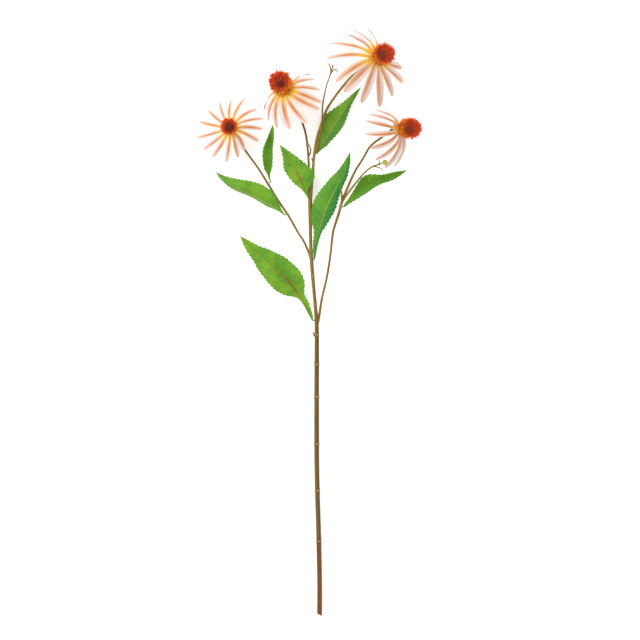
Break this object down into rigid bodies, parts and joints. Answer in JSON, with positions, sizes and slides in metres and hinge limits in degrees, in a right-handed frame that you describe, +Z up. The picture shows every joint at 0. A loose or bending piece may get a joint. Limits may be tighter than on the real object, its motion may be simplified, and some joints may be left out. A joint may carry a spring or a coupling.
{
  "type": "coneflower stem",
  "caption": "Cut branching coneflower stem lying on its back, with toothed leaves, a bud and open heads of pale pink petals round spiky orange-red cones",
  "frame": {"origin": "middle of the underside of the whole stem as it lies, on the surface", "axes": "+Y runs from the cut end to the flower heads, +Z points up from the surface, +X to the right when the heads are away from the viewer"},
  "size_m": [0.2836, 0.7384, 0.068],
  "materials": {
    "stem": "olive to red-brown bark, pale rings at the joints",
    "leaf": "fresh green, half matt, with reddish midrib",
    "petal": "golden at the root, salmon midrib, pale pink edges",
    "cone": "stiff orange-red florets round a dark eye",
    "calyx": "matt green",
    "bud": "yellow-green"
  },
  "bodies": {
    "root": {"stem": "stem", "bud": "bud", "leaf_fork": "leaf", "leaf_left_low": "leaf", "leaf_left_high": "leaf", "leaf_middle_left": "leaf", "leaf_middle_right": "leaf", "leaf_upper": "leaf", "leaf_right": "leaf", "bloom_1_cone": "cone", "bloom_1_petals": "petal", "bloom_1_calyx": "calyx", "bloom_2_cone": "cone", "bloom_2_petals": "petal", "bloom_2_calyx": "calyx", "bloom_3_cone": "cone", "bloom_3_petals": "petal", "bloom_3_calyx": "calyx", "bloom_4_cone": "cone", "bloom_4_petals": "petal", "bloom_4_calyx": "calyx"}
  },
  "joints": []
}
